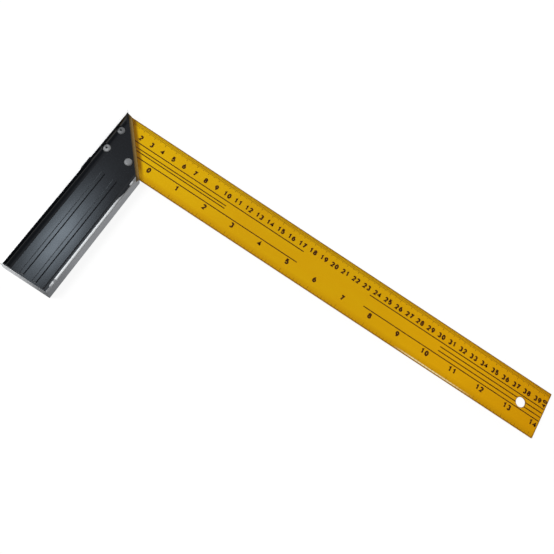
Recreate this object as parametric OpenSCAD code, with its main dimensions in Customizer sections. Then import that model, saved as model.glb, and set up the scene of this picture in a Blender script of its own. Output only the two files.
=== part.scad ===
// Carpenter's try square lying flat: a painted steel blade let into the slotted, mitred head of a
// cast aluminium stock, recessed on both faces, and held there by three rivets.
// +X runs along the blade to its tip, +Y from the stock's end to the blade's outer edge, +Z up.
// The origin is the centre of the underside of the bounding box.

/* [Blade] */
// Length of the blade, from the stock's outer face to the tip
blade_l = 400; // [200:5:600]
// Width of the blade
blade_w = 40; // [36:1:60]
// Thickness of the blade
blade_t = 1; // [0.6:0.1:2]
// Diameter of the hanging hole
hang_hole_d = 8; // [4:0.5:14]
// Distance from the tip to the centre of the hanging hole
hang_hole_inset = 20; // [12:1:40]

/* [Stock] */
// Length of the stock, from the blade's outer edge to the stock's end
stock_l = 150; // [110:5:300]
// Width of the stock, from its outer face to its inner face
stock_w = 40; // [36:1:60]
// Thickness of the stock
stock_t = 16; // [14:0.5:24]
// Thickness of the two flanges along the stock's edges
flange_w = 3; // [2:0.1:5]
// Depth of the recess in each wide face
recess_depth = 5; // [3:0.1:5.5]
// Radius of the cove between a recess's floor and the wall of the outer flange
outer_cove_r = 5; // [0.5:0.1:6]
// Radius of the cove between a recess's floor and the wall of the inner flange
inner_cove_r = 2.5; // [0.5:0.1:6]
// Chamfer along the outer edges of the flanges
edge_chamfer = 1; // [0.2:0.1:1.5]
// Flat left on the outer corner before the mitre starts
corner_flat = 5.5; // [1:0.5:8]
// Width of the blade that the stock's inner face still grips below the mitre
inner_grip = 0.5; // [0:0.5:4]
// Width of the bevel that runs along the mitre; the upper flanges end where it starts
mitre_bevel_w = 2.8; // [0.5:0.1:4]
// Depth of that bevel
mitre_bevel_h = 2.2; // [0.4:0.1:2.4]
// Thickness of the wall that closes the recesses at the stock's end
end_wall = 1; // [0.6:0.1:4]

/* [Ribs] */
// Width at the foot of the two raised ribs on a recess's floor
rib_w = 3.7; // [2:0.1:6]
// Width of the flat on top of a rib
rib_top_w = 2.5; // [0.5:0.1:5]
// Height of the ribs above the floor
rib_h = 0.4; // [0.2:0.1:1.5]
// Distance between the centrelines of the ribs
rib_pitch = 10.6; // [7:0.1:14]
// Distance that the pair of ribs stands off the stock's centreline, towards the inner face
rib_offset = 1.4; // [0:0.1:2]
// Distance from the blade's inner edge to the start of the ribs
rib_start = 12; // [6:1:30]
// Distance from the ribs to the wall at the stock's end
rib_end = 1.5; // [0.5:0.1:6]

/* [Rivets] */
// Diameter of a rivet's shank
rivet_shank_d = 4; // [2.5:0.1:4.5]
// Diameter of a rivet's head
rivet_head_d = 6.2; // [5:0.1:8]
// Height of a rivet's domed head
rivet_head_h = 1.6; // [0.8:0.1:2.4]
// Floor left between the outer flange and the spot faces of the two outer rivets
flange_margin = 0.1; // [0.1:0.1:2]
// Distance from the blade's outer edge to the corner rivet
corner_rivet_y = 15.6; // [14:0.1:20]
// Distance from the blade's inner edge to the two lower rivets
lower_rivet_edge = 6.1; // [5:0.1:9]
// Distance along the blade from the mitre to the inner rivet
mitre_inset = 9.2; // [8:0.1:16]
// Diameter of the dimple in an outer rivet's head
dimple_d = 1.9; // [1:0.1:3]
// Diameter at the bottom of the dimple
dimple_tip_d = 0.8; // [0.3:0.1:0.9]
// Depth of the dimple
dimple_depth = 0.7; // [0.2:0.1:1]

/* [Fits] */
// Gap on each side of the blade in the stock's slot
slot_gap = 0.05; // [0.02:0.01:0.2]
// Gap round a rivet's shank in its holes
shank_gap = 0.05; // [0.02:0.01:0.2]
// Gap round a rivet's head in its spot face
seat_gap = 0.1; // [0.1:0.1:0.4]

/* [Hidden] */

$fn = 64;
outer_x = -blade_l / 2;               // the stock's outer face and the blade's root end
outer_y = stock_l / 2;                // the blade's outer edge and the stock's top
mid_z = stock_t / 2;                  // the plane through the middle of the blade and the web
web_t = stock_t - 2 * recess_depth;
slot_t = blade_t + 2 * slot_gap;
outer_cove = min(outer_cove_r, recess_depth);   // a cove can't be taller than its wall
inner_cove = min(inner_cove_r, recess_depth);
recess_w = stock_w - 2 * flange_w;
cheek_t = (web_t - slot_t) / 2;       // the web on each side of the slot, which a bevel stays within
mitre_x = stock_w - corner_flat;      // run of the mitre along the blade
mitre_y = blade_w - inner_grip;       // and along the stock
head_l = blade_w + rib_start;         // length of the smooth head above the ribs
through = 1;                          // how far a cutter reaches past the face that it cuts

// Rivet centres, measured from the outer corner
spot_r = rivet_head_d / 2 + seat_gap;
rivet_inset = flange_w + spot_r + flange_margin;
lower_rivet_y = blade_w - lower_rivet_edge;
mitre_at_lower_rivets = corner_flat + mitre_x * min(1, lower_rivet_y / mitre_y);
corner_rivet = [rivet_inset, -corner_rivet_y];
outer_rivet = [rivet_inset, -lower_rivet_y];
inner_rivet = [mitre_at_lower_rivets - mitre_inset, -lower_rivet_y];
rivet_centres = [corner_rivet, outer_rivet, inner_rivet];

// Moves its children from the outer corner's frame, centred on the blade's thickness, to the part's frame
module at_corner() {
    translate([outer_x, outer_y, mid_z]) children();
}

// Draws its children on the upper face and mirrored on the lower face
module both_faces() {
    for (side = [0, 1]) mirror([0, 0, side]) children();
}

// Extrudes a profile drawn in X and Z down the stock, from past the blade's outer edge to l below it
module along_stock(l) {
    translate([0, through, 0]) rotate([90, 0, 0]) linear_extrude(l + through) children();
}

// The stock seen from above: square at its end, mitred at its head
module stock_outline() {
    polygon([
        [0, 0],
        [corner_flat, 0],
        [stock_w, -mitre_y],
        [stock_w, -stock_l],
        [0, -stock_l]
    ]);
}

// Section of one side of a recess: its wall stands on X = 0, with a cove down to the floor on Z = 0
module recess_side(cove) {
    reach = recess_w / 2 + through;
    rise = recess_depth + through;
    translate([cove, 0]) square([reach - cove, rise]);
    translate([0, cove]) square([reach, rise - cove]);
    translate([cove, cove]) circle(cove);
}

// Section of one recess: its two sides overlap in the middle
module recess_section() {
    translate([flange_w, web_t / 2]) recess_side(outer_cove);
    translate([stock_w - flange_w, web_t / 2]) mirror([1, 0]) recess_side(inner_cove);
}

// Section of the cutter along the mitre, where X is the way into the stock: it slopes up to a recess's floor,
// then stands upright and squares off the flanges
module bevel_section() {
    depth = min(mitre_bevel_h, cheek_t);
    outside = -through * mitre_bevel_w / depth;
    top = stock_t / 2 + through;
    polygon([
        [outside, web_t / 2 - depth - through],
        [mitre_bevel_w, web_t / 2],
        [mitre_bevel_w, top],
        [outside, top]
    ]);
}

// The bevel of the upper face, which follows the mitre right across the stock
module upper_bevel() {
    translate([corner_flat, 0, 0]) rotate([90, 0, atan2(-mitre_x, -mitre_y)])
        linear_extrude(2 * (stock_w + blade_w), center = true) bevel_section();
}

// The bevel of the lower face, which stays between the flanges
module lower_bevel() {
    mirror([0, 0, 1]) intersection() {
        upper_bevel();
        translate([flange_w, -stock_l, 0]) cube([recess_w, stock_l + through, stock_t]);
    }
}

// Chamfers along the outer edges of both flanges on one face
module edge_chamfers() {
    reach = edge_chamfer + through;
    for (side = [0, 1]) translate([side * stock_w, 0]) mirror([side, 0])
        along_stock(stock_l + through) translate([0, stock_t / 2 - edge_chamfer])
            polygon([[-through, -through], [reach, reach], [-through, reach]]);
}

// Section of one rib, standing on Z = 0 with its foot sunk in the web so that it is one piece with it
module rib_section() {
    top_w = min(rib_top_w, rib_w);
    polygon([
        [-rib_w / 2, -through],
        [rib_w / 2, -through],
        [rib_w / 2, 0],
        [top_w / 2, rib_h],
        [-top_w / 2, rib_h],
        [-rib_w / 2, 0]
    ]);
}

// The two ribs on one recess's floor, from the smooth head almost to the wall at the stock's end
module ribs() {
    rib_l = stock_l - head_l - end_wall - rib_end;
    for (side = [-1, 1])
        translate([stock_w / 2 + rib_offset + side * rib_pitch / 2, -head_l, web_t / 2])
            rotate([90, 0, 0]) linear_extrude(rib_l) rib_section();
}

// Flat seats for the rivets' heads, cut down to a recess's floor
module spot_faces() {
    for (centre = rivet_centres) translate([centre[0], centre[1], web_t / 2])
        cylinder(r = spot_r, h = recess_depth + through);
}

// Holes for the three shanks, through everything
module rivet_holes() {
    for (centre = rivet_centres) translate([centre[0], centre[1], -stock_t])
        cylinder(d = rivet_shank_d + 2 * shank_gap, h = 2 * stock_t);
}

// Slot sawn through the head for the blade
module blade_slot() {
    translate([-through, -blade_w, -slot_t / 2])
        cube([stock_w + 2 * through, blade_w + through, slot_t]);
}

// One rivet at a centre measured from the outer corner
module rivet(centre, dimpled) {
    at_corner() translate([centre[0], centre[1], 0]) difference() {
        union() {
            cylinder(d = rivet_shank_d, h = web_t, center = true);
            both_faces() translate([0, 0, web_t / 2]) rivet_head();
        }
        if (dimpled) translate([0, 0, web_t / 2 + rivet_head_h - dimple_depth])
            cylinder(d1 = dimple_tip_d, d2 = dimple_d, h = dimple_depth);
    }
}

// A domed head standing on Z = 0, cut from a ball
module rivet_head() {
    head_r = rivet_head_d / 2;
    ball_r = (head_r * head_r + rivet_head_h * rivet_head_h) / (2 * rivet_head_h);
    rotate_extrude() intersection() {
        translate([0, rivet_head_h - ball_r]) circle(ball_r);
        square([head_r, rivet_head_h]);
    }
}

module stock() {
    color("silver") at_corner() difference() {
        union() {
            difference() {
                translate([0, 0, -stock_t / 2]) linear_extrude(stock_t) stock_outline();
                both_faces() along_stock(stock_l - end_wall) recess_section();
            }
            both_faces() ribs();
        }
        upper_bevel();
        lower_bevel();
        both_faces() {
            edge_chamfers();
            spot_faces();
        }
        rivet_holes();
        blade_slot();
    }
}

module blade() {
    color("gold") at_corner() difference() {
        translate([0, -blade_w, -blade_t / 2]) cube([blade_l, blade_w, blade_t]);
        translate([blade_l - hang_hole_inset, -blade_w / 2, -blade_t])
            cylinder(d = hang_hole_d, h = 2 * blade_t);
        rivet_holes();
    }
}

module rivet_corner() {
    color("darkgray") rivet(corner_rivet, true);
}

module rivet_outer() {
    color("darkgray") rivet(outer_rivet, true);
}

module rivet_inner() {
    color("darkgray") rivet(inner_rivet, false);
}

stock();
blade();
rivet_corner();
rivet_outer();
rivet_inner();
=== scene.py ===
import math

import bmesh
import bpy
import numpy as np
from mathutils import Matrix, Vector


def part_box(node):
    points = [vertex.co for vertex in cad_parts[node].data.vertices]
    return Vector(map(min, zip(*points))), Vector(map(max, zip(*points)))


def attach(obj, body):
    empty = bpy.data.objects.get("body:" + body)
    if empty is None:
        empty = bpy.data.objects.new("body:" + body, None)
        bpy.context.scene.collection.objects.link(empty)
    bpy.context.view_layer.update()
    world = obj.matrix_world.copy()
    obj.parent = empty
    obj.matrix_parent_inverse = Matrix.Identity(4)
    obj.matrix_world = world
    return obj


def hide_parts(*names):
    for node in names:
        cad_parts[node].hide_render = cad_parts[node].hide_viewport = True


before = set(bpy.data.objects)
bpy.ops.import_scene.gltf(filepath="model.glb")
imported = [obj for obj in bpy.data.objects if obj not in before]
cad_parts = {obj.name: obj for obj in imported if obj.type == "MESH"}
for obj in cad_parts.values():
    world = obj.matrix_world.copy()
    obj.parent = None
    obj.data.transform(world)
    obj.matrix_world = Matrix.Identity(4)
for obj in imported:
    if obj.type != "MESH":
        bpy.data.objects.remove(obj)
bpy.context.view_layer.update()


# The stock is one aluminium casting with a recess in each wide face, two low ribs on each floor and a thin
# wall across its end. The recesses are sprayed black. Then the rims, the two guiding faces, the end and the
# mitre are machined bare, and the head is slotted for the blade.
MM = 0.001
STOCK_NODE = "stock"
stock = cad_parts[STOCK_NODE]
stock_low, stock_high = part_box(STOCK_NODE)
outer_corner = Vector((stock_low.x, stock_high.y, (stock_low.z + stock_high.z) / 2))

# Lengths are in millimetres. Places count from the outer corner: x along the blade, y across it, which is
# negative down the stock, and z up from the blade's middle
STOCK_W = (stock_high.x - stock_low.x) / MM
STOCK_L = (stock_high.y - stock_low.y) / MM
BLADE_W = 40.0
FLANGE_W = 3.0
FLOOR_Z = 3.0
CORNER_FLAT = 5.5
INNER_GRIP = 0.5
EDGE_CHAMFER = 1.0
RIBS_END = 30.0
mitre_run = Vector((STOCK_W - CORNER_FLAT, INNER_GRIP - BLADE_W)).normalized()
mitre_out = Vector((-mitre_run.y, mitre_run.x))

# Where the spray went over a rim: how far, between which places down the stock, and the tail that thins out
OUTER_LAP, OUTER_LAP_FROM, OUTER_LAP_TO, OUTER_LAP_TAIL = 0.6, -59.3, -49.3, 1.5
INNER_LAP, INNER_LAP_FROM, INNER_LAP_TO, INNER_LAP_TAIL = 2.25, -57.5, -50.5, 14.0
INNER_LAP_LEAST, INNER_HEAD_LAP = 0.85, 1.2
INNER_END_LAP, INNER_END_LAP_FROM, INNER_END_LAP_TO = 1.6, -143.8, -145.6
LAP_SLOPE = 1.0
# How far short of the stock's end the spray stops, and how far its ragged border wanders
END_LAP = 0.1
SPRAY_EDGE = 0.12
# How far from the mitre the spray on the bevel ends, and the width over which it fades
BEVEL_SPRAY, BEVEL_SPRAY_EDGE = 0.7, 2.4
# How high above the floor a recess's wall starts to count as one, and fully does
WALL_FROM, WALL_FULL = 0.1, 0.4
# Where the inner rim is painted brighter: one long stretch of painted sheen with a darker nick in it, and a
# brighter spot by the blade
BRIGHT_FROM, BRIGHT_FULL_FROM, BRIGHT_FULL_TO, BRIGHT_TO = -58.0, -76.0, -141.0, -145.0
NICK_Y, NICK_FULL, NICK_EDGE = -140.0, 0.8, 1.8
SPOT_Y, SPOT_FULL, SPOT_EDGE, SPOT_SHARE = -48.0, 1.2, 2.0, 0.6
# How far the rim's painted brightness rolls over its chamfer, and where the inner side's painted shade
# starts
RIM_ROUND, RIM_ROUND_EDGE = 0.45, 0.1
SHADED_FROM = -112.0
# The middle of the stock, across which the look of the outer rim gives way to that of the inner one
STOCK_MIDDLE = 15.0, 25.0

# Parts of a surface's normal at which it starts to count as such a face, and at which it fully does
TILTED = 0.5, 0.65
OUTER_RIM_UP, INNER_RIM_UP = (0.55, 0.65), (0.8, 0.95)
BEVEL_UP, BEVEL_LEAN = (0.6, 0.7), (0.2, 0.3)
RIB_SIDE_LEAN = -0.45, -0.52
END_FACING = -0.5, -0.8
INNER_FACING = 0.7, 0.9

# Sizes of grain along x, y and z, the levels between which most noise lies, and relief
RAGGED_PITCH, MILLING_PITCH, CLOUD_PITCH = (0.9, 0.9, 0.9), (0.25, 30, 0.25), (9, 14, 9)
NOISE_LOW, NOISE_HIGH = 0.3, 0.7
MILLING_DEPTH = 0.02
EASED_R, EASED_SAMPLES = 0.3, 6
METAL_ROUGHNESS, CLOUD_ROUGHNESS, SPRAY_ROUGHNESS = (0.36, 0.48), (-0.04, 0.04), (0.09, 0.11)
DULL_ROUGHNESS = 0.95
MATT_METALLIC = 0.15
STOCK_SPECULAR = 0.4


def shade(red, green, blue):
    """A colour as a screen shows it, 0 to 255, turned into the linear colour that a shader takes."""
    screen = np.array([red, green, blue]) / 255
    return (*np.where(screen <= 0.04045, screen / 12.92, ((screen + 0.055) / 1.055) ** 2.4), 1.0)


BLACK_SPRAY = shade(17, 20, 25)
# Painted highlight: a lighter grey for the left side of each rib
RIB_SIDE_HIGHLIGHT = shade(62, 66, 71)
# The bare metal's tones paint light and shade on one metal: up-facing rims lighter, sides and chamfers
# darker, the end darker towards the inner side, and the inner side darker towards the end
OUTER_RIM = shade(253, 253, 254)
# The inner rim's bright tone is painted sheen; its dim tone is the rim away from it
INNER_RIM = shade(229, 232, 234)
INNER_RIM_DIM = shade(146, 148, 151)
CHAMFER = shade(142, 144, 146)
OUTER_SIDE = shade(182, 184, 186)
INNER_SIDE = shade(181, 183, 186)
INNER_SIDE_SHADED = shade(145, 147, 150)
END_BY_OUTER_SIDE = shade(203, 205, 207)
END_BY_INNER_SIDE = shade(72, 75, 78)
# Painted reflection of the yellow blade, and painted shade, on the bare bevel
BEVEL_TAN_REFLECTION = shade(160, 129, 68)
WHITE = (1.0, 1.0, 1.0, 1.0)
INNER_GRAZING = (0.28, 0.28, 0.28, 1.0)


def empty_tree(owner):
    """The node tree of a new material or world, with nothing in it."""
    owner.use_nodes = True
    owner.node_tree.nodes.clear()
    return owner.node_tree


def add_node(tree, kind, inputs, **settings):
    """Adds a node, sets its properties, and gives each input a number, a colour or another's output."""
    node = tree.nodes.new(kind)
    for name, value in settings.items():
        setattr(node, name, value)
    for name, value in inputs.items():
        if isinstance(value, bpy.types.NodeSocket):
            tree.links.new(value, node.inputs[name])
        else:
            node.inputs[name].default_value = value
    return node


def start_finish(name):
    """A new material with one Principled shader on its output: the material, its tree and the shader."""
    finish = bpy.data.materials.new(name)
    tree = empty_tree(finish)
    shader = add_node(tree, "ShaderNodeBsdfPrincipled", {})
    add_node(tree, "ShaderNodeOutputMaterial", {"Surface": shader.outputs["BSDF"]})
    return finish, tree, shader


def calc(tree, operation, *values):
    """One Math node on numbers or outputs; gives its result."""
    return add_node(tree, "ShaderNodeMath", dict(enumerate(values)), operation=operation).outputs[0]


def ramp(tree, value, start, stop, low=0.0, high=1.0):
    """low where value is at start, high where it is at stop, a straight line between them, level beyond."""
    inputs = {"Value": value, "From Min": start, "From Max": stop, "To Min": low, "To Max": high}
    return add_node(tree, "ShaderNodeMapRange", inputs).outputs["Result"]


def mix_values(tree, share, first, second):
    """The first value where share is 0, the second where it is 1."""
    return add_node(tree, "ShaderNodeMix", {0: share, 2: first, 3: second}).outputs[0]


def mix_colours(tree, share, first, second):
    """The first colour where share is 0, the second where it is 1."""
    node = add_node(tree, "ShaderNodeMix", {0: share, 6: first, 7: second}, data_type="RGBA")
    return node.outputs[2]


def grain(tree, place, pitch, detail=3.0):
    """Noise with grains about pitch mm apart along x, y and z; gives 0 to 1, about 0.5 on average."""
    stretch = add_node(tree, "ShaderNodeMapping", {"Vector": place, "Scale": [1 / p for p in pitch]})
    return add_node(tree, "ShaderNodeTexNoise", {
        "Vector": stretch.outputs["Vector"], "Scale": 1.0, "Detail": detail}).outputs[0]


def spread(tree, noise, low, high):
    """Noise spread over low to high, so that its rare dips and peaks lie at these two."""
    return ramp(tree, noise, NOISE_LOW, NOISE_HIGH, low, high)


def corner_place(tree):
    """Object coordinates in millimetres from the outer corner: as a vector, then x, y and z apart."""
    place = add_node(tree, "ShaderNodeMapping", {
        "Vector": add_node(tree, "ShaderNodeTexCoord", {}).outputs["Object"],
        "Location": -outer_corner / MM,
        "Scale": (1 / MM, 1 / MM, 1 / MM),
    }).outputs["Vector"]
    split = add_node(tree, "ShaderNodeSeparateXYZ", {"Vector": place})
    return place, split.outputs[0], split.outputs[1], split.outputs[2]


def relief(tree, height, depth, share=1.0, under=None):
    """Turns a height of 0 to 1 into shading relief depth mm deep, over another relief if one is given."""
    inputs = {"Height": height, "Distance": depth * MM, "Strength": share}
    if under is not None:
        inputs["Normal"] = under
    return add_node(tree, "ShaderNodeBump", inputs).outputs["Normal"]


def mitre_distance(tree, x, y):
    """How far a place lies past the mitre, square to it, in millimetres; negative on the stock."""
    along = calc(tree, "MULTIPLY", calc(tree, "SUBTRACT", x, CORNER_FLAT), mitre_out.x)
    return calc(tree, "ADD", along, calc(tree, "MULTIPLY", y, mitre_out.y))


def lap(tree, y, width, start, stop, tail):
    """Width of spray on a rim: full between start and stop, thinning out over the tail below start."""
    rise = ramp(tree, y, start - tail, start, 0, width)
    return calc(tree, "MINIMUM", rise, ramp(tree, y, stop, stop + LAP_SLOPE, width, 0))


def recess_spray(tree, x, y, ragged):
    """The share of spray between the rims: 1 in a recess and on the laps over its rims, 0 at the end."""
    outer_lap = lap(tree, y, OUTER_LAP, OUTER_LAP_FROM, OUTER_LAP_TO, OUTER_LAP_TAIL)
    inner_lap = lap(tree, y, INNER_LAP, INNER_LAP_FROM, INNER_LAP_TO, INNER_LAP_TAIL)
    least_lap = ramp(tree, y, INNER_LAP_FROM, INNER_LAP_TO, INNER_LAP_LEAST, INNER_HEAD_LAP)
    end_lap = ramp(tree, y, INNER_END_LAP_FROM, INNER_END_LAP_TO, 0, INNER_END_LAP)
    inner_lap = calc(tree, "MAXIMUM", inner_lap, calc(tree, "MAXIMUM", least_lap, end_lap))
    from_outer = calc(tree, "ADD", x, calc(tree, "ADD", outer_lap, ragged))
    from_inner = calc(tree, "ADD", calc(tree, "SUBTRACT", STOCK_W, x), calc(tree, "ADD", inner_lap, ragged))
    inside = ramp(tree, calc(tree, "MINIMUM", from_outer, from_inner),
                  FLANGE_W - 2 * SPRAY_EDGE, FLANGE_W - SPRAY_EDGE)
    off_end = ramp(tree, y, -STOCK_L + END_LAP / 2, -STOCK_L + END_LAP)
    return calc(tree, "MULTIPLY", inside, off_end)


def inner_rim_tone(tree, y):
    """The inner rim's colour: dim, with painted sheen along one stretch that has a darker nick in it, and
    brighter at one spot.
    """
    brightened = calc(tree, "MINIMUM", ramp(tree, y, BRIGHT_FROM, BRIGHT_FULL_FROM),
                  ramp(tree, y, BRIGHT_TO, BRIGHT_FULL_TO))
    from_nick = calc(tree, "ABSOLUTE", calc(tree, "SUBTRACT", y, NICK_Y))
    brightened = calc(tree, "MINIMUM", brightened, ramp(tree, from_nick, NICK_FULL, NICK_EDGE))
    from_spot = calc(tree, "ABSOLUTE", calc(tree, "SUBTRACT", y, SPOT_Y))
    brightened = calc(tree, "MAXIMUM", brightened, ramp(tree, from_spot, SPOT_EDGE, SPOT_FULL, 0, SPOT_SHARE))
    return mix_colours(tree, brightened, INNER_RIM_DIM, INNER_RIM)


def metal_tone(tree, x, y, upright, tilted, on_end):
    """The bare metal's colour, painted with light and shade: a near-white outer rim, a greyer inner rim,
    and darker sides and chamfers, with the end shading off from the outer side to the inner one.
    """
    across = ramp(tree, x, 0, STOCK_W)
    inner_side = mix_colours(tree, ramp(tree, y, SHADED_FROM, -STOCK_L), INNER_SIDE, INNER_SIDE_SHADED)
    side = mix_colours(tree, across, OUTER_SIDE, inner_side)
    side = mix_colours(tree, on_end, side, mix_colours(tree, across, END_BY_OUTER_SIDE, END_BY_INNER_SIDE))
    side = mix_colours(tree, tilted, side, CHAMFER)
    rim = mix_colours(tree, ramp(tree, x, *STOCK_MIDDLE), OUTER_RIM, inner_rim_tone(tree, y))
    levels = zip(OUTER_RIM_UP, INNER_RIM_UP)
    rim_up = [ramp(tree, x, *STOCK_MIDDLE, outer, inner) for outer, inner in levels]
    rim_end = STOCK_W - EDGE_CHAMFER + RIM_ROUND
    rounded = calc(tree, "MULTIPLY", tilted, ramp(tree, x, rim_end + RIM_ROUND_EDGE, rim_end))
    on_rim = calc(tree, "MAXIMUM", ramp(tree, upright, *rim_up), rounded)
    return mix_colours(tree, on_rim, side, rim)


def stock_finish():
    """Black spray inside the recesses, ragged at its border and thin on the mitre's bevel, with a painted
    highlight on one side of each rib. Elsewhere bare satin metal with milling lines along the stock."""
    finish, tree, shader = start_finish("stock_aluminium_and_black")
    place, x, y, z = corner_place(tree)
    lines = grain(tree, place, MILLING_PITCH)
    cloud = grain(tree, place, CLOUD_PITCH)
    ragged = spread(tree, grain(tree, place, RAGGED_PITCH, detail=2.0), -SPRAY_EDGE, SPRAY_EDGE)

    facing = add_node(tree, "ShaderNodeNewGeometry", {}).outputs["True Normal"]
    facing = add_node(tree, "ShaderNodeSeparateXYZ", {"Vector": facing}).outputs
    upright = calc(tree, "ABSOLUTE", facing[2])
    tilted = ramp(tree, upright, *TILTED)
    on_end = ramp(tree, facing[1], *END_FACING)
    on_bevel = calc(tree, "MULTIPLY", ramp(tree, facing[1], *BEVEL_LEAN), ramp(tree, upright, *BEVEL_UP))
    # Painted highlight: the left side of each rib is given a lighter colour, standing in for the light it
    # catches
    lit_rib_side = calc(tree, "MULTIPLY", ramp(tree, facing[0], *RIB_SIDE_LEAN), tilted)
    lit_rib_side = calc(tree, "MULTIPLY", lit_rib_side, calc(tree, "LESS_THAN", x, RIBS_END))

    past_mitre = mitre_distance(tree, x, y)
    in_recess = recess_spray(tree, x, y, ragged)
    full_spray = -BEVEL_SPRAY - BEVEL_SPRAY_EDGE
    on_slope = ramp(tree, calc(tree, "ADD", past_mitre, ragged), -BEVEL_SPRAY, full_spray)
    sprayed = mix_values(tree, on_bevel, in_recess, on_slope)
    bare = calc(tree, "SUBTRACT", 1.0, sprayed)
    above_floor = calc(tree, "SUBTRACT", calc(tree, "ABSOLUTE", z), FLOOR_Z)
    on_wall = ramp(tree, above_floor, WALL_FROM, WALL_FULL)
    by_mitre = ramp(tree, past_mitre, full_spray - BEVEL_SPRAY_EDGE, full_spray)
    wall_end = calc(tree, "MULTIPLY", calc(tree, "MULTIPLY", in_recess, by_mitre), on_wall)

    # The bevel's tan is a painted reflection of the yellow blade in shaded metal
    metal = mix_colours(tree, on_bevel, metal_tone(tree, x, y, upright, tilted, on_end), BEVEL_TAN_REFLECTION)
    spray = mix_colours(tree, lit_rib_side, BLACK_SPRAY, RIB_SIDE_HIGHLIGHT)
    tree.links.new(mix_colours(tree, sprayed, metal, spray), shader.inputs["Base Color"])
    matt = calc(tree, "MAXIMUM", on_end, calc(tree, "MAXIMUM", tilted, on_bevel))
    metallic = calc(tree, "MULTIPLY", ramp(tree, matt, 0, 1, 1.0, MATT_METALLIC), bare)
    tree.links.new(metallic, shader.inputs["Metallic"])

    milled, clouded = spread(tree, lines, *METAL_ROUGHNESS), spread(tree, cloud, *CLOUD_ROUGHNESS)
    spray_rough = spread(tree, cloud, *SPRAY_ROUGHNESS)
    satin = mix_values(tree, sprayed, calc(tree, "ADD", milled, clouded), spray_rough)
    dull = calc(tree, "MAXIMUM", on_end, calc(tree, "MAXIMUM", on_bevel, wall_end))
    tree.links.new(mix_values(tree, dull, satin, DULL_ROUGHNESS), shader.inputs["Roughness"])
    on_inner = calc(tree, "MULTIPLY", ramp(tree, facing[0], *INNER_FACING), bare)
    tree.links.new(mix_colours(tree, on_inner, WHITE, INNER_GRAZING), shader.inputs["Specular Tint"])
    shader.inputs["Specular IOR Level"].default_value = STOCK_SPECULAR
    eased = add_node(tree, "ShaderNodeBevel", {"Radius": EASED_R * MM}, samples=EASED_SAMPLES)
    milling = relief(tree, lines, MILLING_DEPTH, bare, eased.outputs["Normal"])
    tree.links.new(milling, shader.inputs["Normal"])
    return finish


stock.data.materials.clear()
stock.data.materials.append(stock_finish())


# The blade is a strip of sheet steel, sheared to length, with eased corners and a punched hanging hole near
# its tip. It is coated all over with yellow enamel, which is darker and browner along the thin edges, and
# it is pushed into the stock's slot as far as the outer face.
ROOT_BODY = "root"
BLADE_NODE = "blade"
blade_low, blade_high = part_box(BLADE_NODE)
BLADE_L = (blade_high.x - blade_low.x) / MM
BLADE_T = (blade_high.z - blade_low.z) / MM
HANG_HOLE_R = 4.0
HANG_HOLE_INSET = 20.0
hang_hole = np.array([BLADE_L - HANG_HOLE_INSET, -BLADE_W / 2])
BLADE_CORNER_R = 0.7
BLADE_EDGE_R = 0.35
HOLE_EDGE_R = 0.2
EDGE_MARGIN = 0.3
ARC_STEPS = 8
RUN_STEPS = 40
EDGE_STEPS = 5


def to_frame(points):
    """Points in millimetres from the outer corner, as points of the frame in metres."""
    return np.asarray(points) * MM + np.array(outer_corner)


def make_piece(name, points, faces, finish, smooth=True):
    """A piece whose mesh holds these points of the frame, with its object at the origin, on the body."""
    mesh = bpy.data.meshes.new(name)
    mesh.from_pydata(points, [], faces)
    mesh.validate()
    mesh.update()
    mesh.polygons.foreach_set("use_smooth", np.full(len(mesh.polygons), smooth))
    mesh.materials.append(finish)
    piece = bpy.data.objects.new(name, mesh)
    bpy.context.scene.collection.objects.link(piece)
    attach(piece, ROOT_BODY)
    return piece


def ring_faces(rows, columns):
    """Quads of a grid of rows by columns points that closes on itself both ways."""
    grid = np.arange(rows * columns).reshape(rows, columns)
    after = np.roll(grid, -1, axis=0)
    beside, across = np.roll(grid, -1, axis=1), np.roll(after, -1, axis=1)
    return np.stack([grid, after, across, beside], axis=-1).reshape(-1, 4)


def blade_outline():
    """The blade's outline, anticlockwise from its tip's inner corner, as points and outward normals: about
    the centre c of each corner a quarter circle, c + r (cos a, sin a), then a straight run that is cut at
    equal angles about the hole."""
    low = np.array([BLADE_CORNER_R, BLADE_CORNER_R - BLADE_W])
    high = np.array([BLADE_L - BLADE_CORNER_R, -BLADE_CORNER_R])
    centres = [(high[0], low[1]), (high[0], high[1]), (low[0], high[1]), (low[0], low[1])]
    points, normals = [], []
    for turn, centre in enumerate(centres):
        angle = (turn - 1) * math.pi / 2 + np.linspace(0, math.pi / 2, ARC_STEPS)
        normal = np.stack([np.cos(angle), np.sin(angle)], axis=1)
        points.append(np.array(centre) + BLADE_CORNER_R * normal)
        normals.append(normal)
        out, along = normal[-1], np.array([-normal[-1, 1], normal[-1, 0]])
        next_arc = np.array(centres[(turn + 1) % len(centres)]) + BLADE_CORNER_R * out
        ends = np.array([points[-1][-1], next_arc]) - hang_hole
        reach = ends[0] @ out
        bearing = np.arctan2(ends @ along, reach)
        run = reach * np.tan(np.linspace(*bearing, RUN_STEPS + 2)[1:-1])
        points.append(hang_hole + reach * out + run[:, None] * along)
        normals.append(np.broadcast_to(out, (RUN_STEPS, 2)))
    return np.concatenate(points), np.concatenate(normals)


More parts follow.
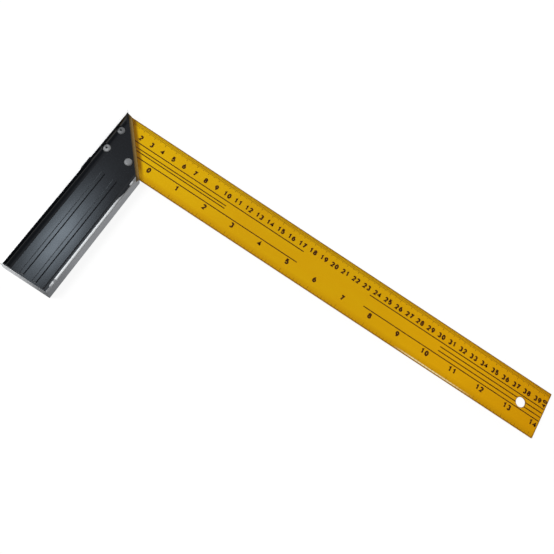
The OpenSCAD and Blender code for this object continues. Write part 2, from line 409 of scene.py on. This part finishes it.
def blade_plate():
    """A plate with a hole: its section, carried once round the outline. The section climbs the hole's wall,
    turns over the hole's lip, crosses the top to the outline, rounds the edge and comes back underneath.
    A point of a lip or an edge of radius r is r (1 - cos a) in from its wall and r (1 - sin a) below the
    face."""
    outline, normal = blade_outline()
    spoke = outline - hang_hole
    spoke /= np.linalg.norm(spoke, axis=1, keepdims=True)
    climb = np.linspace(0, math.pi / 2, EDGE_STEPS)
    lip = HANG_HOLE_R + HOLE_EDGE_R * (1 - np.cos(climb))
    lip_z = BLADE_T / 2 - HOLE_EDGE_R * (1 - np.sin(climb))
    edge = BLADE_EDGE_R * (1 - np.cos(climb[::-1]))
    edge_z = BLADE_T / 2 - BLADE_EDGE_R * (1 - np.sin(climb[::-1]))
    lip, lip_z = np.append(lip, lip[-1] + EDGE_MARGIN), np.append(lip_z, lip_z[-1])
    edge, edge_z = np.append(edge[0] + EDGE_MARGIN, edge), np.append(edge_z[0], edge_z)
    near_hole = hang_hole + lip[:, None, None] * spoke
    near_edge = outline - edge[:, None, None] * normal
    flat = np.concatenate([near_hole, near_edge])
    height = np.concatenate([lip_z, edge_z])
    top = np.dstack([flat, np.broadcast_to(height[:, None], flat.shape[:2])])
    section = np.concatenate([top, top[::-1] * (1, 1, -1)])
    return to_frame(section.reshape(-1, 3)), ring_faces(*section.shape[:2])


ENAMEL_ROOT = shade(218, 173, 4)
ENAMEL_MIDDLE = shade(207, 158, 4)
ENAMEL_FAR = shade(216, 159, 4)
ENAMEL_TIP = shade(204, 143, 2)
ENAMEL_DEEP = shade(186, 132, 2)
ENAMEL_EDGE = shade(142, 97, 14)
# Painted shadow of the stock's head on the blade, beside the mitre
MITRE_SHADOW = shade(138, 94, 6)
# Painted highlight: the pale glare along the inner edge
EDGE_GLARE = shade(238, 222, 170)
# Where one tone gives way to the next along the blade, and the noise that shows as patches of the last one
TO_MIDDLE, TO_FAR, TO_TIP = (45.0, 130.0), (230.0, 310.0), (325.0, BLADE_L)
PATCHES, PATCH_SHARE = (0.35, 0.7), 0.25
# Bands along the inner edge, along every edge, of painted shade round the hole, and of painted shadow
# beside the mitre
DEEP_BAND, DEEP_SHARE = (6.0, 2.0), 0.6
EDGE_BAND = 1.1
HOLE_SHADE_BAND = 0.6
MITRE_SHADOW_BAND, MITRE_SHADOW_WOBBLE = (4.0, 1.9), 0.4
MITRE_SHADOW_THINS, MITRE_SHADOW_INNER_SHARE = (9.0, 1.0), 0.3
# The stretch of painted glare: along the blade, and away from its inner edge
GLARE_START, GLARE_STOP = (272.0, 287.0), (345.0, 320.0)
GLARE_NEAR, GLARE_FAR = (0.6, 0.9), (1.9, 1.6)
GLARE_SCUFF_LEVELS, GLARE_LEAST = (0.25, 0.6), 0.5
ENAMEL_CLOUD_PITCH, PEEL_PITCH, SCUFF_PITCH = (45, 14, 14), (0.8, 0.8, 0.8), (7, 0.3, 0.3)
PEEL_DEPTH = 0.004
DULL_SCUFFS, ENAMEL_ROUGHNESS = (0.3, 0.75), (0.42, 0.54)
ENAMEL_SPECULAR = 0.06


def enamel_tone(tree, x, y, from_inner, cloud):
    """The coat's colour: four tones along the blade with cloudy patches, deeper by the inner edge, brown
    along every edge, painted shade round the hole, and painted shadow of the stock beside the mitre."""
    coat = mix_colours(tree, ramp(tree, x, *TO_MIDDLE), ENAMEL_ROOT, ENAMEL_MIDDLE)
    coat = mix_colours(tree, ramp(tree, x, *TO_FAR), coat, ENAMEL_FAR)
    coat = mix_colours(tree, ramp(tree, x, *TO_TIP), coat, ENAMEL_TIP)
    coat = mix_colours(tree, ramp(tree, cloud, *PATCHES, 0, PATCH_SHARE), coat, ENAMEL_TIP)
    coat = mix_colours(tree, ramp(tree, from_inner, *DEEP_BAND, 0, DEEP_SHARE), coat, ENAMEL_DEEP)

    # Darker brown in a band along every edge
    from_side = calc(tree, "MINIMUM", calc(tree, "MULTIPLY", y, -1.0), from_inner)
    from_edge = calc(tree, "MINIMUM", from_side, calc(tree, "SUBTRACT", BLADE_L, x))
    edge = ramp(tree, from_edge, EDGE_BAND, EDGE_BAND / 2)
    steps = [calc(tree, "SUBTRACT", value, float(middle)) for value, middle in zip((x, y), hang_hole)]
    squares = [calc(tree, "MULTIPLY", step, step) for step in steps]
    from_hole = calc(tree, "SQRT", calc(tree, "ADD", *squares))
    # Painted shade: a dark ring round the hanging hole
    ring = ramp(tree, from_hole, HANG_HOLE_R + HOLE_SHADE_BAND, HANG_HOLE_R + HOLE_SHADE_BAND / 2)
    coat = mix_colours(tree, calc(tree, "MAXIMUM", edge, ring), coat, ENAMEL_EDGE)

    # Painted shadow of the stock beside the mitre, with a wobbling edge, weaker towards the inner edge
    shadow_wobble = spread(tree, cloud, -MITRE_SHADOW_WOBBLE, MITRE_SHADOW_WOBBLE)
    mitre_shadow = ramp(tree, calc(tree, "ADD", mitre_distance(tree, x, y), shadow_wobble), *MITRE_SHADOW_BAND)
    mitre_shadow = calc(tree, "MULTIPLY", mitre_shadow, ramp(tree, from_inner, *MITRE_SHADOW_THINS, 1.0, MITRE_SHADOW_INNER_SHARE))
    return mix_colours(tree, mitre_shadow, coat, MITRE_SHADOW)


def enamel_finish():
    """Yellow enamel with a faint orange-peel relief and dull scuffs along the blade, and one pale stretch
    beside the inner edge that is a painted highlight of glare on the edge."""
    finish, tree, shader = start_finish("yellow_enamel")
    place, x, y, _ = corner_place(tree)
    cloud = grain(tree, place, ENAMEL_CLOUD_PITCH)
    peel = grain(tree, place, PEEL_PITCH, detail=2.0)
    scuffs = grain(tree, place, SCUFF_PITCH)
    from_inner = calc(tree, "ADD", y, BLADE_W)
    coat = enamel_tone(tree, x, y, from_inner, cloud)
    # Painted highlight: a pale glare along the inner edge, broken up by the scuffs
    along = calc(tree, "MULTIPLY", ramp(tree, x, *GLARE_START), ramp(tree, x, *GLARE_STOP))
    near, far = ramp(tree, from_inner, *GLARE_NEAR), ramp(tree, from_inner, *GLARE_FAR)
    across = calc(tree, "MULTIPLY", near, far)
    glare_patches = ramp(tree, scuffs, *GLARE_SCUFF_LEVELS, GLARE_LEAST, 1.0)
    brightened = calc(tree, "MULTIPLY", calc(tree, "MULTIPLY", along, across), glare_patches)
    tree.links.new(mix_colours(tree, brightened, coat, EDGE_GLARE), shader.inputs["Base Color"])
    tree.links.new(ramp(tree, scuffs, *DULL_SCUFFS, *ENAMEL_ROUGHNESS), shader.inputs["Roughness"])
    shader.inputs["Specular IOR Level"].default_value = ENAMEL_SPECULAR
    tree.links.new(relief(tree, peel, PEEL_DEPTH), shader.inputs["Normal"])
    return finish


blade = make_piece("blade_plate", *blade_plate(), enamel_finish())
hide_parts(BLADE_NODE)


# The scales are dark brown ink, printed on both faces of the blade: centimetres along the outer edge,
# counted from the stock's outer face, and inches along the inner edge, counted from its inner face. Thin
# rules run between them, with a bare stretch in the middle of the blade.
INK_T = 0.04
CM = 10
INCH = 25.4
EIGHTHS = 8
TICK_MARGIN = 0.35
TICK_W, INCH_TICK_W = 0.28, 0.15
MM_TICK, HALF_CM_TICK, CM_TICK = 3.6, 4.4, 5.0
EIGHTH_TICK, HALF_INCH_TICK, INCH_TICK = 1.6, 2.4, 3.2
RULE_W = 0.8
ROOT_RULES = (-14.9, -18.75, -21.15, -25.4)
TIP_RULES = (-14.65, -18.2, -21.8, -25.25)
LONG_RULES = (True, False, False, True)
LONG_RULE_END, SHORT_RULE_END = 175.0, 105.5
LONG_RULE_START, SHORT_RULE_START = 236.5, 304.0
CM_FIGURE_H, CM_FIGURE_Y, CM_FIGURE_SHIFT = 4.5, -10.3, 1.2
INCH_FIGURE_H, INCH_FIGURE_Y, INCH_FIGURE_SHIFT = 4.7, -29.2, 1.3
FIRST_CM = 2
LAST_CM_H, LAST_CM_X, LAST_CM_Y = 4.0, 397.5, -10.2
LAST_INCH_X = 395.5


def mitre_at(y):
    """How far along the blade the stock's mitre stands, at y from the blade's outer edge."""
    return CORNER_FLAT - np.asarray(y) * mitre_run.x / -mitre_run.y


def bars(x_low, x_high, y_low, y_high):
    """Thin bars of ink, one for each place in the four arrays: points and quads of boxes about z = 0."""
    sides = np.stack(np.broadcast_arrays(x_low, x_high, y_low, y_high), axis=-1).reshape(-1, 4)
    pick_x, pick_y = np.array([0, 1, 1, 0] * 2), np.array([2, 2, 3, 3] * 2)
    rise = np.repeat([-INK_T / 2, INK_T / 2], 4)
    points = np.dstack([sides[:, pick_x], sides[:, pick_y], np.broadcast_to(rise, (len(sides), len(rise)))])
    box = np.array([[0, 3, 2, 1], [4, 5, 6, 7], [0, 1, 5, 4], [1, 2, 6, 5], [2, 3, 7, 6], [3, 0, 4, 7]])
    faces = box[None] + len(rise) * np.arange(len(sides))[:, None, None]
    return points.reshape(-1, 3), faces.reshape(-1, 4)


def centimetre_ticks():
    """A tick each millimetre from the outer edge, longer at the half and at the whole centimetre."""
    count = np.arange(math.ceil(mitre_at(0)) + 1, round(BLADE_L))
    whole, half = count % CM == 0, count % (CM // 2) == 0
    length = np.select([whole, half], [CM_TICK, HALF_CM_TICK], MM_TICK)
    clear = count > mitre_at(-length)
    x, length = count[clear], length[clear]
    return bars(x - TICK_W / 2, x + TICK_W / 2, -TICK_MARGIN - length, -TICK_MARGIN)


def inch_ticks():
    """A tick each eighth of an inch from the inner edge, longer at the half and at the whole inch."""
    count = np.arange(1, math.floor((BLADE_L - STOCK_W) / INCH * EIGHTHS) + 1)
    whole, half = count % EIGHTHS == 0, count % (EIGHTHS // 2) == 0
    length = np.select([whole, half], [INCH_TICK, HALF_INCH_TICK], EIGHTH_TICK)
    x = STOCK_W + count * INCH / EIGHTHS
    foot = TICK_MARGIN - BLADE_W
    return bars(x - INCH_TICK_W / 2, x + INCH_TICK_W / 2, foot, foot + length)


def rules():
    """Four rules, the outer two long and the inner two short, from the mitre and again up to the tip. A
    rule that meets the hole stops before it and goes on behind it."""
    tip = np.full(len(TIP_RULES), BLADE_L - EDGE_BAND)
    start = np.concatenate([mitre_at(ROOT_RULES), np.where(LONG_RULES, LONG_RULE_START, SHORT_RULE_START)])
    stop = np.concatenate([np.where(LONG_RULES, LONG_RULE_END, SHORT_RULE_END), tip])
    y = np.array(ROOT_RULES + TIP_RULES)
    clear_r = HANG_HOLE_R + EDGE_MARGIN
    off = y - hang_hole[1]
    gap = np.sqrt(np.maximum(clear_r ** 2 - off ** 2, 0))
    crosses = (np.abs(off) < clear_r) & (stop > hang_hole[0])
    start, stop, y = (
        np.concatenate([start, (hang_hole[0] + gap)[crosses]]),
        np.concatenate([np.where(crosses, hang_hole[0] - gap, stop), stop[crosses]]),
        np.concatenate([y, y[crosses]]),
    )
    return bars(start, stop, y - RULE_W / 2, y + RULE_W / 2)


DIGIT_W, DIGIT_GAP, PEN_SHARE = 0.55, 0.5, 0.28
ZERO_STEPS, RING_STEPS, BOW_STEPS, TAIL_STEPS = 33, 25, 15, 9
SHARPEST_BEND = 0.5
STROKE_LIFT = 0.002


def arc(centre, radii, start, stop, steps=BOW_STEPS):
    """Points of an ellipse from one bearing to another, in degrees: c + (rx cos a, ry sin a)."""
    angle = np.radians(np.linspace(start, stop, steps))
    return np.stack([centre[0] + radii[0] * np.cos(angle), centre[1] + radii[1] * np.sin(angle)], axis=1)


def digit_strokes():
    """The pen's path for each digit, in a cell DIGIT_W wide and 1 high: open paths, and closed ones that
    end where they start."""
    w, half = DIGIT_W, DIGIT_W / 2
    loop = arc((half, 0.3), (half, 0.3), 180, 540, RING_STEPS)
    tail = arc((1.05 * w, 0.3), (1.05 * w, 0.72), 180, 105, TAIL_STEPS)
    small = arc((half, 0.77), (0.42 * w, 0.23), 90, 450, RING_STEPS)
    large = arc((half, 0.27), (half, 0.27), 90, 450, RING_STEPS)
    return {
        "0": [arc((half, 0.5), (half, 0.5), 90, 450, ZERO_STEPS)],
        "1": [np.array([(0.08 * w, 0.76), (0.6 * w, 1.0), (0.6 * w, 0.0)])],
        "2": [np.concatenate([arc((half, 0.7), (half, 0.3), 165, -35), [(0.0, 0.0), (w, 0.0)]])],
        "3": [arc((half, 0.76), (0.46 * w, 0.24), 155, -90), arc((half, 0.27), (half, 0.27), 90, -155)],
        "4": [np.array([(0.72 * w, 0.0), (0.72 * w, 1.0), (-0.05 * w, 0.34), (1.15 * w, 0.34)])],
        "5": [np.concatenate([[(0.95 * w, 1.0), (0.14 * w, 1.0), (0.08 * w, 0.52)],
                              arc((half, 0.31), (half, 0.31), 115, -155)])],
        "6": [loop, tail],
        "7": [np.array([(0.0, 1.0), (w, 1.0), (0.3 * w, 0.0)])],
        "8": [small, large],
        "9": [np.array([w, 1.0]) - stroke for stroke in (loop, tail)],
    }


DIGITS = digit_strokes()


def ribbon(path, width):
    """A flat nib of ink carried along a path: at each point the two edges lie half the width out along the
    mitred normal, (n1 + n2) / (1 + n1 n2), of the steps before and after it. Closed if the path ends where
    it starts."""
    closed = np.allclose(path[0], path[-1])
    step = np.diff(path, axis=0)
    normal = np.stack([-step[:, 1], step[:, 0]], axis=1) / np.linalg.norm(step, axis=1, keepdims=True)
    before = np.concatenate([normal[-1:] if closed else normal[:1], normal])
    after = np.concatenate([normal, normal[:1] if closed else normal[-1:]])
    bend = np.maximum(1 + np.sum(before * after, axis=1, keepdims=True), SHARPEST_BEND)
    out = (before + after) / bend * width / 2
    if closed:
        path, out = path[:-1], out[:-1]
    left, right = path + out, path - out
    under, over = np.full((len(path), 1), -INK_T / 2), np.full((len(path), 1), INK_T / 2)
    points = np.stack([np.hstack([left, under]), np.hstack([right, under]),
                       np.hstack([right, over]), np.hstack([left, over])], axis=1)
    grid = np.arange(len(path) * 4).reshape(-1, 4)
    near, far = (grid, np.roll(grid, -1, axis=0)) if closed else (grid[:-1], grid[1:])
    quads = [near, far, np.roll(far, -1, axis=1), np.roll(near, -1, axis=1)]
    faces = np.stack(quads, axis=-1).reshape(-1, 4)
    if not closed:
        faces = np.concatenate([faces, grid[:1], grid[-1:, ::-1]])
    return points.reshape(-1, 3), faces


def join(films):
    """Several films, each its points and its quads, as one array of points and one of quads."""
    points, faces = zip(*films)
    starts = np.cumsum([0] + [len(part) for part in points])
    return np.concatenate(points), np.concatenate([part + start for part, start in zip(faces, starts)])


def figure_film(label, height):
    """A number as films of ink, one for each stroke of its digits, height mm tall over all and centred on
    its own middle. The strokes of a digit lie a little over one another."""
    pen = height * PEN_SHARE
    scale = height - pen
    advance = DIGIT_W * scale + pen * (1 + DIGIT_GAP)
    middle = np.array([DIGIT_W * scale + advance * (len(label) - 1), scale]) / 2
    films = []
    for place, digit in enumerate(label):
        for layer, stroke in enumerate(DIGITS[digit]):
            points, faces = ribbon(stroke * scale + (place * advance, 0) - middle, pen)
            films.append((points + (0, 0, layer * STROKE_LIFT), faces))
    return join(films)


def figures():
    """Every number with its place: centimetres, the last one turned to read up the tip, and inches."""
    placed = []
    last_cm = round(BLADE_L / CM)
    for count in range(FIRST_CM, last_cm):
        place = (CM * count + CM_FIGURE_SHIFT, CM_FIGURE_Y)
        placed.append((figure_film(str(count), CM_FIGURE_H), place))
    points, faces = figure_film(str(last_cm), LAST_CM_H)
    placed.append(((points[:, [1, 0, 2]] * (-1, 1, 1), faces), (LAST_CM_X, LAST_CM_Y)))
    last_inch = math.floor((BLADE_L - STOCK_W) / INCH)
    for count in range(last_inch + 1):
        x = min(STOCK_W + INCH * count + INCH_FIGURE_SHIFT, LAST_INCH_X)
        placed.append((figure_film(str(count), INCH_FIGURE_H), (x, INCH_FIGURE_Y)))
    return placed


BROWN_INK = shade(62, 30, 4)
FADED_INK = shade(108, 64, 8)
FADED_PITCH, FADED_PATCHES = (1.6, 1.6, 1.6), (0.5, 0.8)
INK_ROUGHNESS, INK_SPECULAR = 0.6, 0.1


def ink_finish():
    """Matt brown ink, thinner and paler in small patches."""
    finish, tree, shader = start_finish("brown_ink")
    place = corner_place(tree)[0]
    faded = ramp(tree, grain(tree, place, FADED_PITCH), *FADED_PATCHES)
    tree.links.new(mix_colours(tree, faded, BROWN_INK, FADED_INK), shader.inputs["Base Color"])
    shader.inputs["Roughness"].default_value = INK_ROUGHNESS
    shader.inputs["Specular IOR Level"].default_value = INK_SPECULAR
    return finish


ink = ink_finish()
numbers = figures()
marks = {"centimetre_ticks": centimetre_ticks(), "inch_ticks": inch_ticks(), "rules": rules()}
for face, side in (("front", 1), ("back", -1)):
    lift = (0, 0, side * BLADE_T / 2)
    for name, (points, faces) in marks.items():
        make_piece(f"{name}_{face}", to_frame(points + lift), faces, ink, smooth=False)
    turned = [(film * (side, 1, side) + (*place, 0), quads) for (film, quads), place in numbers]
    points, faces = join(turned)
    make_piece(f"figures_{face}", to_frame(points + lift), faces, ink, smooth=False)


# Three soft aluminium rivets hold the blade in the slot. Each is a shank with a round head on both sides.
# The two along the outer edge are set with a pointed punch, which leaves a dimple in the upper head. Each
# rivet's entry says whether it has the dimple, and how dull it is.
RIVETS = {"rivet_corner": (True, 1.0), "rivet_outer": (True, 0.0), "rivet_inner": (False, 0.75)}
SHANK_R = 2.0
HEAD_H = 1.6
HEAD_FOOT = 0.25
HEAD_POWER = 2.6
DIMPLE_R, DIMPLE_TIP_R, DIMPLE_DEPTH = 0.95, 0.4, 0.7
DIMPLE_POINT = DIMPLE_TIP_R / 2
LIP_R, LIP_H = 0.12, 0.072
RIVET_STEPS = 64
DOME_STEPS = 14
LIP_STEPS = 7
WELD = 0.001
RIVET_TONE = shade(162, 164, 166)
RIVET_DULL = shade(120, 122, 124)
# Painted shade for the inside of the dimples
DIMPLE_SHADE_TONE = shade(40, 42, 46)
DENT_PITCH, DENT_DEPTH = (1.2, 1.2, 1.2), 0.03
DULL_DENTS = 0.4, 0.8
RIVET_ROUGHNESS = 0.6, 0.72
RIVET_METALLIC = 0.5


def dome(head_r, dimpled):
    """Half of a head's section, from its foot to its middle, as r and z above the seat: a short upright
    foot, then a flattened dome, z = foot + (h - foot) (1 - (r / R)^p)^(1 / p). A dimpled head has a raised
    lip and a cone in place of the dome's middle."""
    angle = np.linspace(0, math.pi / 2, DOME_STEPS)
    rise = HEAD_H - HEAD_FOOT
    r = head_r * np.cos(angle) ** (2 / HEAD_POWER)
    z = HEAD_FOOT + rise * np.sin(angle) ** (2 / HEAD_POWER)
    if dimpled:
        keep = r > DIMPLE_R + 2 * LIP_R
        turn = np.linspace(0, math.pi, LIP_STEPS)
        lip_z = HEAD_FOOT + rise * (1 - (DIMPLE_R / head_r) ** HEAD_POWER) ** (1 / HEAD_POWER)
        floor = lip_z - DIMPLE_DEPTH
        r = np.concatenate([r[keep], DIMPLE_R + LIP_R * (1 + np.cos(turn)), [DIMPLE_TIP_R, 0]])
        z = np.concatenate([z[keep], lip_z + LIP_H * np.sin(turn), [floor, floor - DIMPLE_POINT]])
    else:
        r[-1] = 0
    return np.append(head_r, r), np.append(0, z)


def rivet_lathe(node, dimpled):
    """The rivet's section turned about its axis: from the top's middle down over the head and along the
    shank to the lower head's middle. A point of the section at (r, z) becomes (r cos a, r sin a, z). The
    third result is 1 on the points inside the dimple."""
    low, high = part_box(node)
    centre = np.array([(low.x + high.x) / 2, (low.y + high.y) / 2, outer_corner.z])
    head_r = (high.x - low.x) / 2 / MM
    seat = (outer_corner.z - low.z) / MM - HEAD_H
    top_r, top_z = dome(head_r, dimpled)
    low_r, low_z = dome(head_r, False)
    r = np.concatenate([top_r[::-1], [SHANK_R, SHANK_R], low_r])
    z = np.concatenate([seat + top_z[::-1], [seat, -seat], -seat - low_z])
    angle = np.linspace(0, 2 * math.pi, RIVET_STEPS, endpoint=False)
    height = np.outer(z, np.ones(RIVET_STEPS))
    turned = np.stack([np.outer(r, np.cos(angle)), np.outer(r, np.sin(angle)), height], axis=-1)
    ring = np.arange(len(r) * RIVET_STEPS).reshape(-1, RIVET_STEPS)
    beside = np.roll(ring, -1, axis=1)
    faces = np.stack([ring[:-1], ring[1:], beside[1:], beside[:-1]], axis=-1)
    dimple_shade = np.repeat(dimpled * (z > 0) * (r < DIMPLE_R), RIVET_STEPS).astype(float)
    return turned.reshape(-1, 3) * MM + centre, faces.reshape(-1, 4), dimple_shade


def rivet_finish():
    """Aluminium with small dents, duller on one rivet than on another, and painted shade in the dimples."""
    finish, tree, shader = start_finish("rivet_aluminium")
    place = corner_place(tree)[0]
    dents = grain(tree, place, DENT_PITCH)
    dulled = add_node(tree, "ShaderNodeAttribute", {}, attribute_name="dulled").outputs["Fac"]
    dimple_shade = add_node(tree, "ShaderNodeAttribute", {}, attribute_name="dimple_shade").outputs["Fac"]
    dull = calc(tree, "MAXIMUM", ramp(tree, dents, *DULL_DENTS), dulled)
    tone = mix_colours(tree, dull, RIVET_TONE, RIVET_DULL)
    # Painted shade darkens the points inside the dimple
    tree.links.new(mix_colours(tree, dimple_shade, tone, DIMPLE_SHADE_TONE), shader.inputs["Base Color"])
    shader.inputs["Metallic"].default_value = RIVET_METALLIC
    tree.links.new(spread(tree, dents, *RIVET_ROUGHNESS), shader.inputs["Roughness"])
    tree.links.new(relief(tree, dents, DENT_DEPTH), shader.inputs["Normal"])
    return finish


rivet_aluminium = rivet_finish()
for node, (dimpled, dulled) in RIVETS.items():
    points, faces, dimple_shade = rivet_lathe(node, dimpled)
    rivet = make_piece(f"{node}_lathe", points, faces, rivet_aluminium)
    for name, values in (("dimple_shade", dimple_shade), ("dulled", np.full(len(points), dulled))):
        rivet.data.attributes.new(name, "FLOAT", "POINT").data.foreach_set("value", values)
    close = bmesh.new()
    close.from_mesh(rivet.data)
    bmesh.ops.remove_doubles(close, verts=close.verts, dist=WELD * MM)
    bmesh.ops.recalc_face_normals(close, faces=close.faces)
    close.to_mesh(rivet.data)
    close.free()
    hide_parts(node)


# The studio is a plain white table of smooth board, wide enough to fill every view. It shows white to the
# camera and in the metal, and keeps a faint shadow of the square that lies on it.
TABLE_HALF = 8.0
TABLE_DROP = 0.1 * MM
TABLE_WHITE = (0.86, 0.86, 0.86, 1.0)
TABLE_GLOW = 0.9
TABLE_SHADOW_SHARE = (0.12, 0.12, 0.12, 1.0)


def table_finish():
    """White and diffuse for the light it passes on; what is seen is a white glow with a little shadow."""
    finish = bpy.data.materials.new("white_table")
    tree = empty_tree(finish)
    rays = add_node(tree, "ShaderNodeLightPath", {}).outputs
    mirrored = calc(tree, "MAXIMUM", rays["Is Glossy Ray"], rays["Is Transmission Ray"])
    seen = calc(tree, "MAXIMUM", rays["Is Camera Ray"], mirrored)
    passed_on = add_node(tree, "ShaderNodeBsdfDiffuse", {"Color": TABLE_WHITE}).outputs[0]
    glow = add_node(tree, "ShaderNodeEmission", {"Strength": TABLE_GLOW}).outputs[0]
    shadow = add_node(tree, "ShaderNodeBsdfDiffuse", {"Color": TABLE_SHADOW_SHARE}).outputs[0]
    shown = add_node(tree, "ShaderNodeAddShader", {0: glow, 1: shadow}).outputs[0]
    mixed = add_node(tree, "ShaderNodeMixShader", {0: seen, 1: passed_on, 2: shown}).outputs[0]
    add_node(tree, "ShaderNodeOutputMaterial", {"Surface": mixed})
    return finish


table_mesh = bpy.data.meshes.new("table")
table_points = TABLE_HALF * np.array([[-1, -1, 0], [1, -1, 0], [1, 1, 0], [-1, 1, 0]]) - (0, 0, TABLE_DROP)
table_mesh.from_pydata(table_points, [], [[0, 1, 2, 3]])
table_mesh.materials.append(table_finish())
table = bpy.data.objects.new("table", table_mesh)
bpy.context.scene.collection.objects.link(table)


# The light is a soft round key lamp on the left, in a room that is white at the horizon, darker overhead
# and darker still on the right. One soft bright patch high up on the left is what the black paint in the
# recess mirrors as its sheen.
KEY_FROM, KEY_AWAY, KEY_WIDE, KEY_WATTS = Vector((-0.41, -0.29, 0.866)), 4.0, 1.4, 104.0
HORIZON_WHITE_TO, HORIZON_DARK_FROM = math.sin(math.radians(12)), math.sin(math.radians(18))
ROOM_WHITE_TO, ROOM_DARK_FROM = math.sin(math.radians(14)), math.sin(math.radians(48))
ROOM_OVERHEAD = 0.38
ROOM_DIMS, ROOM_RIGHT_SHARE = (0.1, 0.5), 0.25
SHEEN_FROM, SHEEN_SPREAD, SHEEN_LEVEL = (-0.2835, 0.187), (0.0185, 0.063), 11.2
SHEEN_COOL = (0.74, 0.87, 1.0, 1.0)


def white_room():
    """A world whose light depends on the direction (x, y, z) alone: level bands of z, dimmed towards +x,
    plus a patch that falls off as exp(-u^2 - v^2), where u and v are the steps in x and y from its middle
    over its spread."""
    room = bpy.data.worlds.new("white_room")
    tree = empty_tree(room)
    direction = add_node(tree, "ShaderNodeTexCoord", {}).outputs["Generated"]
    direction = add_node(tree, "ShaderNodeSeparateXYZ", {"Vector": direction}).outputs
    horizon = ramp(tree, direction[2], HORIZON_WHITE_TO, HORIZON_DARK_FROM, 1.0, 0.0)
    walls = ramp(tree, direction[2], ROOM_WHITE_TO, ROOM_DARK_FROM, 1.0, ROOM_OVERHEAD)
    walls = calc(tree, "MULTIPLY", walls, ramp(tree, direction[0], *ROOM_DIMS, 1.0, ROOM_RIGHT_SHARE))
    level = calc(tree, "MAXIMUM", horizon, walls)
    sky = add_node(tree, "ShaderNodeBackground", {"Color": WHITE, "Strength": level})
    steps = [calc(tree, "SUBTRACT", direction[axis], middle) for axis, middle in enumerate(SHEEN_FROM)]
    u, v = (calc(tree, "DIVIDE", step, width) for step, width in zip(steps, SHEEN_SPREAD))
    fall = calc(tree, "ADD", calc(tree, "MULTIPLY", u, u), calc(tree, "MULTIPLY", v, v))
    patch = calc(tree, "EXPONENT", calc(tree, "MULTIPLY", fall, -1.0))
    patch = calc(tree, "MULTIPLY", patch, calc(tree, "GREATER_THAN", direction[2], 0.0))
    level = calc(tree, "MULTIPLY", patch, SHEEN_LEVEL)
    sheen = add_node(tree, "ShaderNodeBackground", {"Color": SHEEN_COOL, "Strength": level})
    both = add_node(tree, "ShaderNodeAddShader", {0: sky.outputs[0], 1: sheen.outputs[0]})
    add_node(tree, "ShaderNodeOutputWorld", {"Surface": both.outputs[0]})
    return room


key_lamp = bpy.data.lights.new("key", "AREA")
key_lamp.shape = "DISK"
key_lamp.size = KEY_WIDE
key_lamp.energy = KEY_WATTS
key = bpy.data.objects.new("key", key_lamp)
key.location = KEY_FROM.normalized() * KEY_AWAY
key.rotation_euler = KEY_FROM.to_track_quat("Z", "Y").to_euler()
key.visible_camera = False
bpy.context.scene.collection.objects.link(key)

bpy.context.scene.world = white_room()
bpy.context.scene.view_settings.view_transform = "Standard"


# The camera looks down on the square from beyond the stock's end, a little to the right of it. It is turned
# so that the blade slopes down across the picture.
CAMERA_EYE = Vector((-36.21, -130.79, 484.84)) * MM
CAMERA_AIM = Vector((-31.56, 30.75, 8.5)) * MM
CAMERA_ROLL = math.radians(33.195)
CAMERA_LENS = 42.9
CAMERA_CLIP = 10.0 * MM

looking = (CAMERA_AIM - CAMERA_EYE).normalized()
level_right = looking.cross(Vector((0, 1, 0))).normalized()
level_up = level_right.cross(looking)
right = level_right * math.cos(CAMERA_ROLL) + level_up * math.sin(CAMERA_ROLL)
up = right.cross(looking)
camera = bpy.data.objects.new("camera", bpy.data.cameras.new("camera"))
camera.data.lens = CAMERA_LENS
camera.data.clip_start = CAMERA_CLIP
camera.matrix_world = Matrix((
    (right.x, up.x, -looking.x, CAMERA_EYE.x),
    (right.y, up.y, -looking.y, CAMERA_EYE.y),
    (right.z, up.z, -looking.z, CAMERA_EYE.z),
    (0, 0, 0, 1),
))
bpy.context.scene.collection.objects.link(camera)
bpy.context.scene.camera = camera
